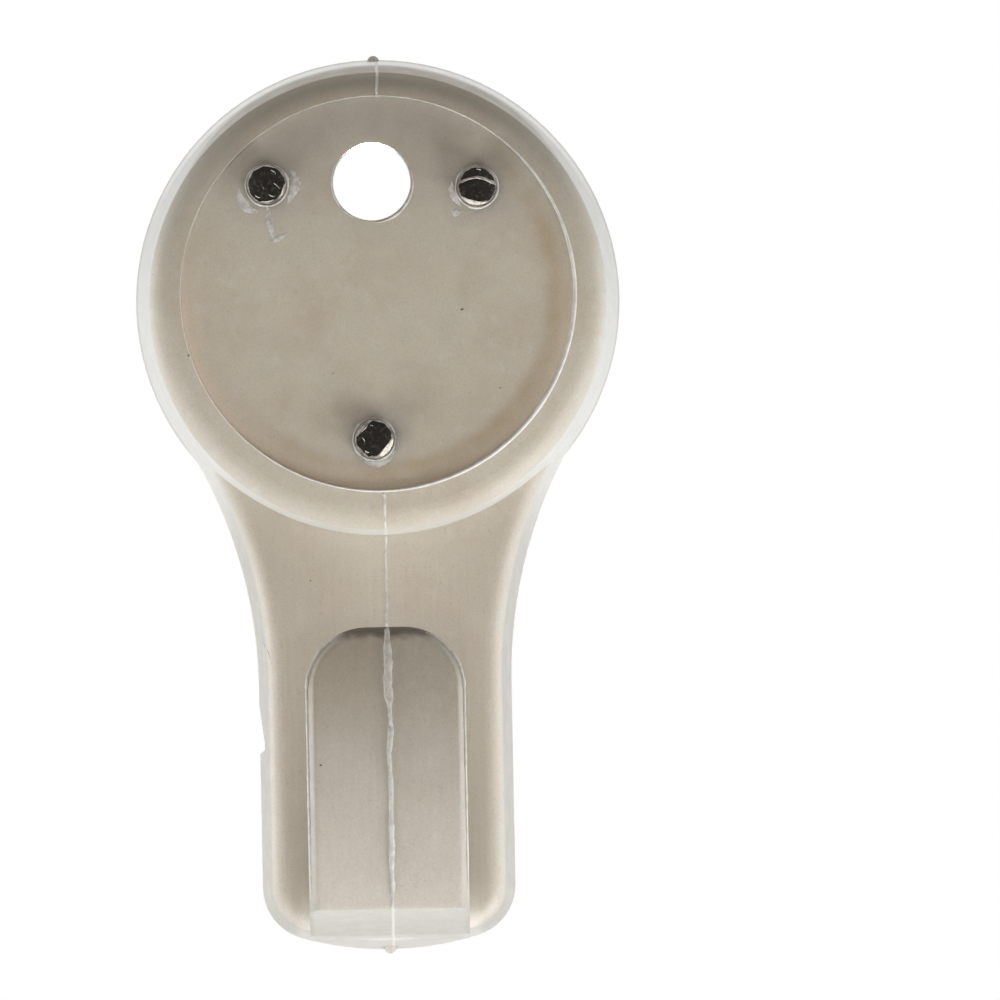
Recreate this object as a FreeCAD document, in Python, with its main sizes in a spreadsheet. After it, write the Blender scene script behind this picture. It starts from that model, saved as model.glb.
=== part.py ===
"""Picture hook: a moulded plastic wall hook with a fixing hole and three steel wall pins.

Millimetres. +Z is up, the front faces -Y and the back lies on the wall at y = 0.
The origin is on the fixing hole's axis, where that axis meets the wall.
"""
import FreeCAD, Part
import math
import os
import Sketcher

doc = FreeCAD.newDocument("picture_hook")

# Driving dimensions, in millimetres and degrees

SIZES = {
    # round head: heights and depths are measured from its centre and from the wall, insets from its edge
    "head_radius": 10.9,
    "head_depth": 4.6,
    "side_foot": 0.5,
    # rim round the head's front, from its edge over its shoulder to its crest
    "rim_inset": 0.62,
    "rim_drop": 0.8,
    "rim_edge_round": 0.15,
    "shoulder_inset": 1.55,
    "shoulder_drop": 0.2,
    "crest_inset": 2.6,
    # sunk round face inside a ring, left by a core that stood a little above the head's centre
    "ring_width": 2.08,
    "face_recess": 0.4,
    "face_rise": 0.34,
    # flat tail below the head
    "tail_width": 11.4,
    "tail_drop": 29.2,
    "plate_depth": 2.5,
    "edge_draft": 12.0,
    "edge_round": 0.9,
    "neck_radius": 21.2,
    "neck_end": 17.2,
    "neck_root": 5.0,
    "corner_radius": 2.4,
    "bottom_bow": 14.2,
    # chip broken out of the tail's left edge: a long slope down to a short floor, then a step back out
    "nick_bite": 0.22,
    "nick_top": 16.4,
    "nick_drop": 19.8,
    "nick_floor": 0.3,
    "nick_step": 0.4,
    # upturned arm and its lip
    "hook_gap": 4.4,
    "lip_width": 7.15,
    "lip_top": 14.62,
    "lip_foot": 27.2,
    "lip_foot_depth": 2.0,
    "lip_tip_depth": 0.9,
    "lip_bow": 16.0,
    "lip_corner": 2.75,
    "lip_bevel": 0.35,
    "gap_floor": 26.4,
    "gap_round": 2.4,
    "arm_foot": 28.74,
    "arm_root": 1.7,
    # flash where the mould's two halves met: a thin rib up the lip, and a nub at each end of the hook
    "flash_shift": 0.15,
    "flash_width": 0.12,
    "flash_height": 0.1,
    "flash_margin": 0.6,
    "nub_radius": 0.26,
    "nub_height": 0.18,
    "nub_depth": 0.8,
    # fixing hole, and how far its core stood off the mould's middle
    "hole_diameter": 3.5,
    "hole_rise": 5.37,
    "core_shift": 0.17,
    # steel wall pins, placed from the fixing hole: the right one sits lower than the left
    "pin_diameter": 1.75,
    "pin_spacing": 9.43,
    "pin_row_drop": 0.19,
    "pin_row_slant": 0.13,
    "pin_low_drop": 11.57,
    "pin_low_shift": 0.11,
    "pin_proud": 1.2,
    "pin_reach": 4.5,
    "pin_point": 2.6,
    "pin_tip_diameter": 0.3,
    # sheared front end of a pin: ridge off the axis, fall of both cuts, turn of each pin
    "pin_cut_ridge": 0.2,
    "pin_cut_fall": 0.6,
    "pin_turn_left": 150.0,
    "pin_turn_right": 5.0,
    "pin_turn_low": 40.0,
}

sheet = doc.addObject("Spreadsheet::Sheet", "sizes")
for row, (alias, value) in enumerate(SIZES.items(), start=1):
    sheet.set(f"A{row}", alias)
    sheet.set(f"B{row}", str(value))
    sheet.setAlias(f"B{row}", alias)
doc.recompute()


def size(formula):
    """Value of a formula written with the sheet's names, such as sizes.tail_width / 2."""
    return float(sheet.evalExpression(formula))


# Helpers for sketches and features


def origin_item(body, role):
    """One of a body's own origin planes or axes."""
    return next(item for item in body.Origin.OriginFeatures if item.Role == role)


def new_body(label):
    """Empty body that carries the name of its sub-part."""
    body = doc.addObject("PartDesign::Body", label)
    body.Label = label
    return body


def new_sketch(body, name, role):
    """Empty sketch on one of the body's origin planes."""
    sketch = body.newObject("Sketcher::SketchObject", name)
    sketch.AttachmentSupport = [(origin_item(body, role), "")]
    sketch.MapMode = "FlatFace"
    return sketch


def point(x, y):
    """Point in a sketch."""
    return FreeCAD.Vector(x, y, 0)


def circle(centre, radius):
    """Full circle in a sketch."""
    return Part.Circle(centre, FreeCAD.Vector(0, 0, 1), radius)


def arc(centre, radius, first_angle, last_angle):
    """Circular arc that runs anticlockwise between two angles in radians."""
    return Part.ArcOfCircle(circle(centre, radius), first_angle, last_angle)


def fix(sketch, kind, *where):
    """Add one geometric constraint."""
    sketch.addConstraint(Sketcher.Constraint(kind, *where))


def drive(sketch, kind, where, formula):
    """Add one dimension that follows a formula of the sheet's sizes."""
    index = sketch.addConstraint(Sketcher.Constraint(kind, *where, size(formula)))
    sketch.setExpression(f"Constraints[{index}]", formula)


# Which end of a sketch element a constraint takes, and the sketch's own origin and upright axis
START, END, CENTRE = 1, 2, 3
ORIGIN = (-1, 1)
UPRIGHT = -2


def polyline(sketch, corners):
    """Closed chain of lines through the corners; each line starts at its own corner."""
    following = corners[1:] + corners[:1]
    lines = [sketch.addGeometry(Part.LineSegment(*ends)) for ends in zip(corners, following)]
    for line, after in zip(lines, lines[1:] + lines[:1]):
        fix(sketch, "Coincident", line, END, after, START)
    return lines


def below(sketch, where, formula):
    """Hold a point this far below the sketch's origin."""
    drive(sketch, "DistanceY", (*where, *ORIGIN), formula)


def above(sketch, where, formula):
    """Hold a point this far above the sketch's origin."""
    drive(sketch, "DistanceY", (*ORIGIN, *where), formula)


def left_of(sketch, where, formula):
    """Hold a point this far to the left of the sketch's origin."""
    drive(sketch, "DistanceX", (*where, *ORIGIN), formula)


def right_of(sketch, where, formula):
    """Hold a point this far to the right of the sketch's origin."""
    drive(sketch, "DistanceX", (*ORIGIN, *where), formula)


def feature(body, kind, name, sketch):
    """Feature that uses a sketch as its profile."""
    item = body.newObject(f"PartDesign::{kind}", name)
    item.Profile = sketch
    return item


def cut(body, name, sketch, forwards=None):
    """Pocket right through the body, or forwards from the sketch over a length given as a formula."""
    before = body.Shape.Volume
    pocket = feature(body, "Pocket", name, sketch)
    if forwards:
        pocket.Type = "Length"
        pocket.Reversed = True
        pocket.setExpression("Length", forwards)
    else:
        pocket.Type = "ThroughAll"
        pocket.Midplane = True
    doc.recompute()
    if pocket.Shape.Volume >= before:
        raise RuntimeError(f"{name} removes nothing")
    return pocket


def break_edges(body, kind, name, wanted):
    """Fillet or chamfer on each edge of the body that passes the test, which also gets the edge's middle."""
    base = body.Tip
    names = []
    for number, edge in enumerate(base.Shape.Edges, start=1):
        middle = edge.valueAt((edge.FirstParameter + edge.LastParameter) / 2)
        if wanted(edge, middle):
            names.append(f"Edge{number}")
    if not names:
        raise RuntimeError(f"{name} finds no edge")
    item = body.newObject(f"PartDesign::{kind}", name)
    item.Base = (base, names)
    return item


def round_edges(body, name, radius, wanted):
    """Fillet of one radius on the edges that pass the test."""
    fillet = break_edges(body, "Fillet", name, wanted)
    fillet.setExpression("Radius", radius)
    doc.recompute()


def bevel_edges(body, name, width, wanted):
    """Even chamfer on the edges that pass the test."""
    chamfer = break_edges(body, "Chamfer", name, wanted)
    chamfer.setExpression("Size", width)
    doc.recompute()


def near(a, b, tolerance=0.01):
    """True where two lengths agree."""
    return abs(a - b) < tolerance


def along_depth(edge, share=0.9):
    """True where an edge runs from front to back at its middle."""
    middle = (edge.FirstParameter + edge.LastParameter) / 2
    return abs(edge.tangentAt(middle).y) > share


# Where each pin stands: across and up from the fixing hole

PIN_PLACES = {
    "pin_upper_left": ("-sizes.pin_spacing / 2", "sizes.pin_row_slant - sizes.pin_row_drop"),
    "pin_upper_right": ("sizes.pin_spacing / 2", "-sizes.pin_row_slant - sizes.pin_row_drop"),
    "pin_lower": ("-sizes.pin_low_shift", "-sizes.pin_low_drop"),
}

# Moulded hook: its own origin is the head's centre, on the wall

hook = new_body("hook_body")


def draw_plate_outline():
    """Front outline of the tail plate, from the bottom edge up into the head."""
    sketch = new_sketch(hook, "plate_outline", "XZ_Plane")
    half = size("sizes.tail_width / 2")
    neck = size("sizes.neck_radius")
    neck_end = -size("sizes.neck_end")
    root = -size("sizes.neck_root")
    corner = size("sizes.corner_radius")
    bow = size("sizes.bottom_bow")
    bow_centre = bow - size("sizes.tail_drop")
    corner_across = half - corner
    corner_up = bow_centre - math.sqrt((bow - corner) ** 2 - corner_across**2)
    lean = math.atan2(bow_centre - corner_up, corner_across)
    neck_turn = math.asin((root - neck_end) / neck)
    neck_top = half + neck * (1 - math.cos(neck_turn))
    left_side = sketch.addGeometry(Part.LineSegment(point(-half, neck_end), point(-half, corner_up)))
    left_corner = sketch.addGeometry(
        arc(point(-corner_across, corner_up), corner, math.pi, math.pi + lean)
    )
    bottom = sketch.addGeometry(arc(point(0, bow_centre), bow, math.pi + lean, 2 * math.pi - lean))
    right_corner = sketch.addGeometry(arc(point(corner_across, corner_up), corner, -lean, 0))
    right_side = sketch.addGeometry(Part.LineSegment(point(half, corner_up), point(half, neck_end)))
    right_neck = sketch.addGeometry(
        arc(point(half + neck, neck_end), neck, math.pi - neck_turn, math.pi)
    )
    top = sketch.addGeometry(Part.LineSegment(point(neck_top, root), point(-neck_top, root)))
    left_neck = sketch.addGeometry(arc(point(-half - neck, neck_end), neck, 0, neck_turn))
    fix(sketch, "Tangent", left_side, END, left_corner, START)
    fix(sketch, "Tangent", left_corner, END, bottom, START)
    fix(sketch, "Tangent", bottom, END, right_corner, START)
    fix(sketch, "Tangent", right_corner, END, right_side, START)
    fix(sketch, "Tangent", right_side, END, right_neck, END)
    fix(sketch, "Tangent", left_neck, START, left_side, START)
    fix(sketch, "Coincident", right_neck, START, top, START)
    fix(sketch, "Coincident", top, END, left_neck, END)
    fix(sketch, "Vertical", left_side)
    fix(sketch, "Vertical", right_side)
    fix(sketch, "Horizontal", top)
    fix(sketch, "PointOnObject", bottom, CENTRE, UPRIGHT)
    fix(sketch, "Symmetric", left_side, START, right_side, END, UPRIGHT)
    fix(sketch, "Equal", left_corner, right_corner)
    fix(sketch, "Equal", left_neck, right_neck)
    drive(sketch, "DistanceX", (left_side, START, right_side, END), "sizes.tail_width")
    drive(sketch, "Radius", (left_corner,), "sizes.corner_radius")
    drive(sketch, "Radius", (bottom,), "sizes.bottom_bow")
    drive(sketch, "Radius", (left_neck,), "sizes.neck_radius")
    below(sketch, (left_side, START), "sizes.neck_end")
    below(sketch, (top, START), "sizes.neck_root")
    below(sketch, (bottom, CENTRE), "sizes.tail_drop - sizes.bottom_bow")
    return sketch


def draw_head_profile():
    """Half section of the round head: flat back, drafted side, and a rounded rim that rises to the front."""
    sketch = new_sketch(hook, "head_profile", "XY_Plane")
    front = -size("sizes.head_depth")
    foot = point(size("sizes.head_radius"), -size("sizes.side_foot"))
    edge = point(foot.x - size("sizes.rim_inset"), front + size("sizes.rim_drop"))
    shoulder = point(foot.x - size("sizes.shoulder_inset"), front + size("sizes.shoulder_drop"))
    crest = point(foot.x - size("sizes.crest_inset"), front)
    inwards = FreeCAD.Vector(crest.y - shoulder.y, shoulder.x - crest.x, 0).normalize()
    across = edge - shoulder
    rim_round = across.Length**2 / (2 * across.dot(inwards))
    rim_centre = shoulder + inwards * rim_round
    rim_angles = [math.atan2(end.y - rim_centre.y, end.x - rim_centre.x) for end in (shoulder, edge)]
    back = sketch.addGeometry(Part.LineSegment(point(0, 0), point(foot.x, 0)))
    side = sketch.addGeometry(Part.LineSegment(point(foot.x, 0), foot))
    slope = sketch.addGeometry(Part.LineSegment(foot, edge))
    rim = sketch.addGeometry(arc(rim_centre, rim_round, *rim_angles))
    land = sketch.addGeometry(Part.LineSegment(shoulder, crest))
    flat = sketch.addGeometry(Part.LineSegment(crest, point(0, front)))
    axis = sketch.addGeometry(Part.LineSegment(point(0, front), point(0, 0)))
    fix(sketch, "Coincident", back, START, *ORIGIN)
    fix(sketch, "Coincident", back, END, side, START)
    fix(sketch, "Coincident", side, END, slope, START)
    fix(sketch, "Coincident", slope, END, rim, END)
    fix(sketch, "Tangent", rim, START, land, START)
    fix(sketch, "Coincident", land, END, flat, START)
    fix(sketch, "Coincident", flat, END, axis, START)
    fix(sketch, "Coincident", axis, END, back, START)
    fix(sketch, "Horizontal", back)
    fix(sketch, "Vertical", side)
    fix(sketch, "Horizontal", flat)
    fix(sketch, "Vertical", axis)
    right_of(sketch, (back, END), "sizes.head_radius")
    below(sketch, (side, END), "sizes.side_foot")
    right_of(sketch, (slope, END), "sizes.head_radius - sizes.rim_inset")
    below(sketch, (slope, END), "sizes.head_depth - sizes.rim_drop")
    right_of(sketch, (land, START), "sizes.head_radius - sizes.shoulder_inset")
    below(sketch, (land, START), "sizes.head_depth - sizes.shoulder_drop")
    right_of(sketch, (land, END), "sizes.head_radius - sizes.crest_inset")
    below(sketch, (land, END), "sizes.head_depth")
    return sketch


def draw_face():
    """Round face that the core left sunk into the front of the head."""
    sketch = new_sketch(hook, "face_outline", "XZ_Plane")
    radius = size("sizes.head_radius - sizes.ring_width")
    face = sketch.addGeometry(circle(point(0, size("sizes.face_rise")), radius))
    sketch.setExpression("AttachmentOffset.Base.z", "sizes.head_depth - sizes.face_recess")
    fix(sketch, "PointOnObject", face, CENTRE, UPRIGHT)
    drive(sketch, "Radius", (face,), "sizes.head_radius - sizes.ring_width")
    above(sketch, (face, CENTRE), "sizes.face_rise")
    return sketch


def add_lip_front(sketch):
    """Bowed front of the lip, from its tip down to its foot, in a side section."""
    inner = -size("sizes.plate_depth + sizes.hook_gap")
    foot = point(inner - size("sizes.lip_foot_depth"), -size("sizes.lip_foot"))
    tip = point(inner - size("sizes.lip_tip_depth"), -size("sizes.lip_top"))
    bow = size("sizes.lip_bow")
    chord = tip - foot
    lean = math.atan2(chord.x, chord.y)
    half_turn = math.asin(chord.Length / 2 / bow)
    offset = bow * math.cos(half_turn)
    centre = (foot + tip) / 2 + point(offset * math.cos(lean), -offset * math.sin(lean))
    front = sketch.addGeometry(arc(centre, bow, math.pi - lean - half_turn, math.pi - lean + half_turn))
    left_of(sketch, (front, START), "sizes.plate_depth + sizes.hook_gap + sizes.lip_tip_depth")
    below(sketch, (front, START), "sizes.lip_top")
    left_of(sketch, (front, END), "sizes.plate_depth + sizes.hook_gap + sizes.lip_foot_depth")
    below(sketch, (front, END), "sizes.lip_foot")
    drive(sketch, "Radius", (front,), "sizes.lip_bow")
    return front


def draw_arm_profile():
    """Side section of the upturned arm: sloping underside, bowed lip and the gap behind it."""
    sketch = new_sketch(hook, "arm_profile", "YZ_Plane")
    inner = -size("sizes.plate_depth + sizes.hook_gap")
    foot_front = inner - size("sizes.lip_foot_depth")
    tip_front = inner - size("sizes.lip_tip_depth")
    root = -size("sizes.arm_root")
    base = -size("sizes.arm_foot")
    lip_foot = -size("sizes.lip_foot")
    lip_top = -size("sizes.lip_top")
    floor = -size("sizes.gap_floor")
    round_gap = size("sizes.gap_round")
    under = sketch.addGeometry(Part.LineSegment(point(root, base), point(foot_front, lip_foot)))
    front = add_lip_front(sketch)
    tip = sketch.addGeometry(Part.LineSegment(point(tip_front, lip_top), point(inner, lip_top)))
    back = sketch.addGeometry(Part.LineSegment(point(inner, lip_top), point(inner, floor + round_gap)))
    bend = sketch.addGeometry(
        arc(point(inner + round_gap, floor + round_gap), round_gap, math.pi, 1.5 * math.pi)
    )
    seat = sketch.addGeometry(Part.LineSegment(point(inner + round_gap, floor), point(root, floor)))
    buried = sketch.addGeometry(Part.LineSegment(point(root, floor), point(root, base)))
    fix(sketch, "Coincident", under, END, front, END)
    fix(sketch, "Coincident", front, START, tip, START)
    fix(sketch, "Coincident", tip, END, back, START)
    fix(sketch, "Tangent", back, END, bend, START)
    fix(sketch, "Tangent", bend, END, seat, START)
    fix(sketch, "Coincident", seat, END, buried, START)
    fix(sketch, "Coincident", buried, END, under, START)
    fix(sketch, "Horizontal", tip)
    fix(sketch, "Vertical", back)
    fix(sketch, "Horizontal", seat)
    fix(sketch, "Vertical", buried)
    left_of(sketch, (under, START), "sizes.arm_root")
    below(sketch, (under, START), "sizes.arm_foot")
    left_of(sketch, (tip, END), "sizes.plate_depth + sizes.hook_gap")
    drive(sketch, "Radius", (bend,), "sizes.gap_round")
    below(sketch, (seat, END), "sizes.gap_floor")
    return sketch


def draw_lip_flash():
    """Side section of the flash rib: a thin band that follows the lip's bowed front."""
    sketch = new_sketch(hook, "lip_flash_profile", "YZ_Plane")
    sketch.setExpression("AttachmentOffset.Base.z", "sizes.flash_shift")
    front = add_lip_front(sketch)
    sketch.toggleConstruction(front)
    centre = sketch.Geometry[front].Center
    top = -size("sizes.lip_top + sizes.flash_margin")
    foot = -size("sizes.lip_foot - sizes.flash_margin")
    bands = []
    for formula in ("sizes.lip_bow + sizes.flash_height", "sizes.lip_bow - sizes.flash_height"):
        radius = size(formula)
        first = math.pi - math.asin((top - centre.y) / radius)
        last = math.pi - math.asin((foot - centre.y) / radius)
        band = sketch.addGeometry(arc(centre, radius, first, last))
        fix(sketch, "Coincident", band, CENTRE, front, CENTRE)
        drive(sketch, "Radius", (band,), formula)
        below(sketch, (band, START), "sizes.lip_top + sizes.flash_margin")
        below(sketch, (band, END), "sizes.lip_foot - sizes.flash_margin")
        bands.append(band)
    outer, inner = bands
    for end in (START, END):
        ends = [sketch.getPoint(band, end) for band in bands]
        line = sketch.addGeometry(Part.LineSegment(*ends))
        fix(sketch, "Coincident", line, START, outer, end)
        fix(sketch, "Coincident", line, END, inner, end)
    return sketch


def draw_nubs():
    """Round nubs of flash that stand out at the top of the head and at the bottom of the tail."""
    sketch = new_sketch(hook, "nub_outlines", "XZ_Plane")
    radius = size("sizes.nub_radius")
    for outline, hold, sign in (("sizes.head_radius", above, 1), ("sizes.tail_drop", below, -1)):
        rise = f"{outline} + sizes.nub_height - sizes.nub_radius"
        nub = sketch.addGeometry(circle(point(0, sign * size(rise)), radius))
        fix(sketch, "PointOnObject", nub, CENTRE, UPRIGHT)
        drive(sketch, "Radius", (nub,), "sizes.nub_radius")
        hold(sketch, (nub, CENTRE), rise)
    return sketch


def draw_nick():
    """Chip out of the tail's left edge: a long slope, a short floor and a step back to the edge."""
    sketch = new_sketch(hook, "nick_outline", "XZ_Plane")
    outside = -size("sizes.tail_width / 2 + sizes.nick_bite")
    inside = -size("sizes.tail_width / 2 - sizes.nick_bite")
    top = -size("sizes.nick_top")
    drop = -size("sizes.nick_drop")
    floor_end = drop - size("sizes.nick_floor")
    corners = [
        point(outside, top),
        point(inside, drop),
        point(inside, floor_end),
        point(outside, floor_end - size("sizes.nick_step")),
    ]
    slope, floor, step, clear = polyline(sketch, corners)
    fix(sketch, "Vertical", floor)
    fix(sketch, "Vertical", clear)
    left_of(sketch, (slope, START), "sizes.tail_width / 2 + sizes.nick_bite")
    left_of(sketch, (floor, START), "sizes.tail_width / 2 - sizes.nick_bite")
    below(sketch, (slope, START), "sizes.nick_top")
    below(sketch, (floor, START), "sizes.nick_drop")
    below(sketch, (floor, END), "sizes.nick_drop + sizes.nick_floor")
    below(sketch, (step, END), "sizes.nick_drop + sizes.nick_floor + sizes.nick_step")
    return sketch


def draw_fixing_hole():
    """Fixing hole, set off the middle by the core's shift."""
    sketch = new_sketch(hook, "fixing_hole_outline", "XZ_Plane")
    centre = point(-size("sizes.core_shift"), size("sizes.hole_rise"))
    hole = sketch.addGeometry(circle(centre, size("sizes.hole_diameter / 2")))
    drive(sketch, "Diameter", (hole,), "sizes.hole_diameter")
    left_of(sketch, (hole, CENTRE), "sizes.core_shift")
    above(sketch, (hole, CENTRE), "sizes.hole_rise")
    return sketch


def draw_pin_holes():
    """Holes that the three pins are moulded into, each as wide as its pin."""
    sketch = new_sketch(hook, "pin_hole_outlines", "XZ_Plane")
    radius = size("sizes.pin_diameter / 2")
    for across, up in PIN_PLACES.values():
        from_middle = f"{across} - sizes.core_shift"
        from_centre = f"{up} + sizes.hole_rise"
        hole = sketch.addGeometry(circle(point(size(from_middle), size(from_centre)), radius))
        drive(sketch, "Diameter", (hole,), "sizes.pin_diameter")
        right_of(sketch, (hole, CENTRE), from_middle)
        above(sketch, (hole, CENTRE), from_centre)
    return sketch


def is_plate_edge(edge, middle):
    """Front edges of the tail plate, apart from the one buried in the head."""
    buried = middle.z > -size("sizes.neck_root + sizes.plate_depth")
    return near(middle.y, -size("sizes.plate_depth")) and not buried


def is_rim_edge(edge, middle):
    """Edge between the head's side and its rounded rim."""
    at_rim = near(middle.y, size("sizes.rim_drop - sizes.head_depth"))
    return at_rim and near(math.hypot(middle.x, middle.z), size("sizes.head_radius - sizes.rim_inset"))


def is_lip_corner(edge, middle):
    """The two corners at the top of the lip."""
    at_side = near(abs(middle.x), size("sizes.lip_width / 2"))
    return at_side and near(middle.z, -size("sizes.lip_top")) and along_depth(edge)


def is_lip_edge(edge, middle):
    """Edges round the lip's front face, apart from its foot."""
    at_front = -middle.y > size("sizes.plate_depth + sizes.hook_gap + sizes.lip_tip_depth / 2")
    above_foot = middle.z > -size("sizes.lip_foot - sizes.lip_bevel")
    return at_front and above_foot and not along_depth(edge)


plate = feature(hook, "Pad", "tail_plate", draw_plate_outline())
plate.setExpression("Length", "sizes.plate_depth")
plate.setExpression("TaperAngle", "-sizes.edge_draft")
doc.recompute()
round_edges(hook, "tail_edge", "sizes.edge_round", is_plate_edge)

head = feature(hook, "Revolution", "head", draw_head_profile())
head.ReferenceAxis = (origin_item(hook, "Y_Axis"), [""])
head.Angle = 360
doc.recompute()
round_edges(hook, "rim_edge", "sizes.rim_edge_round", is_rim_edge)

cut(hook, "face", draw_face(), forwards="sizes.head_depth")

arm = feature(hook, "Pad", "arm", draw_arm_profile())
arm.Midplane = True
arm.setExpression("Length", "sizes.lip_width")
doc.recompute()
round_edges(hook, "lip_corners", "sizes.lip_corner", is_lip_corner)
bevel_edges(hook, "lip_edges", "sizes.lip_bevel", is_lip_edge)

flash = feature(hook, "Pad", "lip_flash", draw_lip_flash())
flash.Midplane = True
flash.setExpression("Length", "sizes.flash_width")
doc.recompute()
nubs = feature(hook, "Pad", "nubs", draw_nubs())
nubs.setExpression("Length", "sizes.nub_depth")
doc.recompute()

cut(hook, "nick", draw_nick())
cut(hook, "fixing_hole", draw_fixing_hole())
cut(hook, "pin_holes", draw_pin_holes())
hook.setExpression("Placement.Base.x", "sizes.core_shift")
hook.setExpression("Placement.Base.z", "-sizes.hole_rise")


# Steel pins: each has its own origin on its axis, on the wall


def draw_pin_profile(pin):
    """Half section of a round pin: flat front end, straight shank and a point at the back."""
    sketch = new_sketch(pin, f"{pin.Label}_profile", "XY_Plane")
    radius = size("sizes.pin_diameter / 2")
    front = -size("sizes.head_depth - sizes.face_recess + sizes.pin_proud")
    reach = size("sizes.pin_reach")
    shoulder = reach - size("sizes.pin_point")
    tip_radius = size("sizes.pin_tip_diameter / 2")
    corners = [
        point(0, front),
        point(radius, front),
        point(radius, shoulder),
        point(tip_radius, reach),
        point(0, reach),
    ]
    end, side, taper, tip, axis = polyline(sketch, corners)
    fix(sketch, "Horizontal", end)
    fix(sketch, "Vertical", side)
    fix(sketch, "Horizontal", tip)
    fix(sketch, "Vertical", axis)
    fix(sketch, "PointOnObject", end, START, UPRIGHT)
    below(sketch, (end, START), "sizes.head_depth - sizes.face_recess + sizes.pin_proud")
    right_of(sketch, (side, START), "sizes.pin_diameter / 2")
    above(sketch, (side, END), "sizes.pin_reach - sizes.pin_point")
    above(sketch, (taper, END), "sizes.pin_reach")
    right_of(sketch, (taper, END), "sizes.pin_tip_diameter / 2")
    return sketch


def draw_pin_shear(pin):
    """What the cutter took off the front end: both sides of a low ridge beside the axis."""
    sketch = new_sketch(pin, f"{pin.Label}_shear_outline", "XY_Plane")
    out = size("sizes.pin_diameter")
    front = -size("sizes.head_depth - sizes.face_recess + sizes.pin_proud")
    foot = front + size("sizes.pin_cut_fall")
    clear = front - size("sizes.pin_proud")
    ridge = point(size("sizes.pin_cut_ridge"), front)
    corners = [point(-out, foot), ridge, point(out, foot), point(out, clear), point(-out, clear)]
    left_cut, right_cut, right_side, outside, left_side = polyline(sketch, corners)
    fix(sketch, "Vertical", right_side)
    fix(sketch, "Horizontal", outside)
    fix(sketch, "Vertical", left_side)
    fix(sketch, "Symmetric", left_cut, START, right_cut, END, UPRIGHT)
    drive(sketch, "DistanceX", (left_cut, START, right_cut, END), "2 * sizes.pin_diameter")
    right_of(sketch, (right_cut, START), "sizes.pin_cut_ridge")
    below(sketch, (right_cut, START), "sizes.head_depth - sizes.face_recess + sizes.pin_proud")
    drive(sketch, "DistanceY", (right_cut, START, right_cut, END), "sizes.pin_cut_fall")
    drive(sketch, "DistanceY", (right_side, END, right_cut, START), "sizes.pin_proud")
    return sketch


def make_pin(label, across, up, turn):
    """Round pin with a point behind the wall face and a sheared end in front of the hook."""
    pin = new_body(label)
    shank = feature(pin, "Revolution", f"{label}_shank", draw_pin_profile(pin))
    shank.ReferenceAxis = (origin_item(pin, "Y_Axis"), [""])
    shank.Angle = 360
    doc.recompute()
    cut(pin, f"{label}_shear", draw_pin_shear(pin))
    pin.Placement.Rotation = FreeCAD.Rotation(FreeCAD.Vector(0, 1, 0), size(turn))
    pin.setExpression("Placement.Rotation.Angle", turn)
    pin.setExpression("Placement.Base.x", across)
    pin.setExpression("Placement.Base.z", up)
    return pin


PIN_TURNS = ("sizes.pin_turn_left", "sizes.pin_turn_right", "sizes.pin_turn_low")
pins = [make_pin(label, *place, turn) for (label, place), turn in zip(PIN_PLACES.items(), PIN_TURNS)]
doc.recompute()

# Every object is sound before anything is written

sub_parts = [hook, *pins]
for item in doc.Objects:
    if "Invalid" in item.State or "Error" in item.State:
        raise RuntimeError(f"{item.Name} failed: {item.State}")
for part in sub_parts:
    if part.Shape.isNull() or not part.Shape.isValid():
        raise RuntimeError(f"{part.Label} has no valid shape")

os.makedirs("parts", exist_ok=True)
for part in sub_parts:
    part.Shape.exportStep(f"parts/{part.Label}.step")
    box = part.Shape.optimalBoundingBox()
    print(
        part.Label,
        f"{part.Shape.Volume:.1f} mm3",
        f"x {box.XMin:.2f} to {box.XMax:.2f}",
        f"y {box.YMin:.2f} to {box.YMax:.2f}",
        f"z {box.ZMin:.2f} to {box.ZMax:.2f}",
    )
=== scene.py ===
# %% [markdown]
# A plastic picture hook, dressed in Blender.
# The hook is one moulding: a round head, a flat tail and a tongue that holds the picture's wire.
# Three steel pins are moulded into the head, and the hole between the upper two takes the main fixing.
# The solids come ready made at their true size, so this lesson adds light, finish and moulding marks.

# %% Load the solids
import math

import bpy
import bmesh
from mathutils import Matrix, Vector, noise
from mathutils.bvhtree import BVHTree


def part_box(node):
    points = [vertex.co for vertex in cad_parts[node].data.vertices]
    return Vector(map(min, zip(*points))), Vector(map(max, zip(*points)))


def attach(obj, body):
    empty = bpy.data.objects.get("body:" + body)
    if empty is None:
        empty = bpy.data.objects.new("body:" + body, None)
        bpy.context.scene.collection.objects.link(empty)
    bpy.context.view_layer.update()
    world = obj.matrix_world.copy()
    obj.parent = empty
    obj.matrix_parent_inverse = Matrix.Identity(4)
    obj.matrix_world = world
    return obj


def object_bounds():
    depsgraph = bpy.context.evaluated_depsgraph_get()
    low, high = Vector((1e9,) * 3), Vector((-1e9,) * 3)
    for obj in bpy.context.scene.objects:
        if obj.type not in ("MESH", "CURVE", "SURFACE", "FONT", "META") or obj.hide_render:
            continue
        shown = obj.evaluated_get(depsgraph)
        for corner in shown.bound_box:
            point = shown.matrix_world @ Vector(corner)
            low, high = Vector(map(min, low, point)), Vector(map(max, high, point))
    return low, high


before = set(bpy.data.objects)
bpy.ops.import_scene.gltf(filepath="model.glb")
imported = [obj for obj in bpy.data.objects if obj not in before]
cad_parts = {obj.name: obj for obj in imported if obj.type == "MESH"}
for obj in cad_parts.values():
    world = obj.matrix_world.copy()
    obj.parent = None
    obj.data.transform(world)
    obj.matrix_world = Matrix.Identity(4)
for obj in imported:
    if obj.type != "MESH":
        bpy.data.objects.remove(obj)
cad_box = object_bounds()
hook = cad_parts["hook_body"]
pins = [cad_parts[name] for name in ("pin_upper_left", "pin_upper_right", "pin_lower")]
MM = 0.001
hook_low, hook_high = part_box("hook_body")
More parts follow.
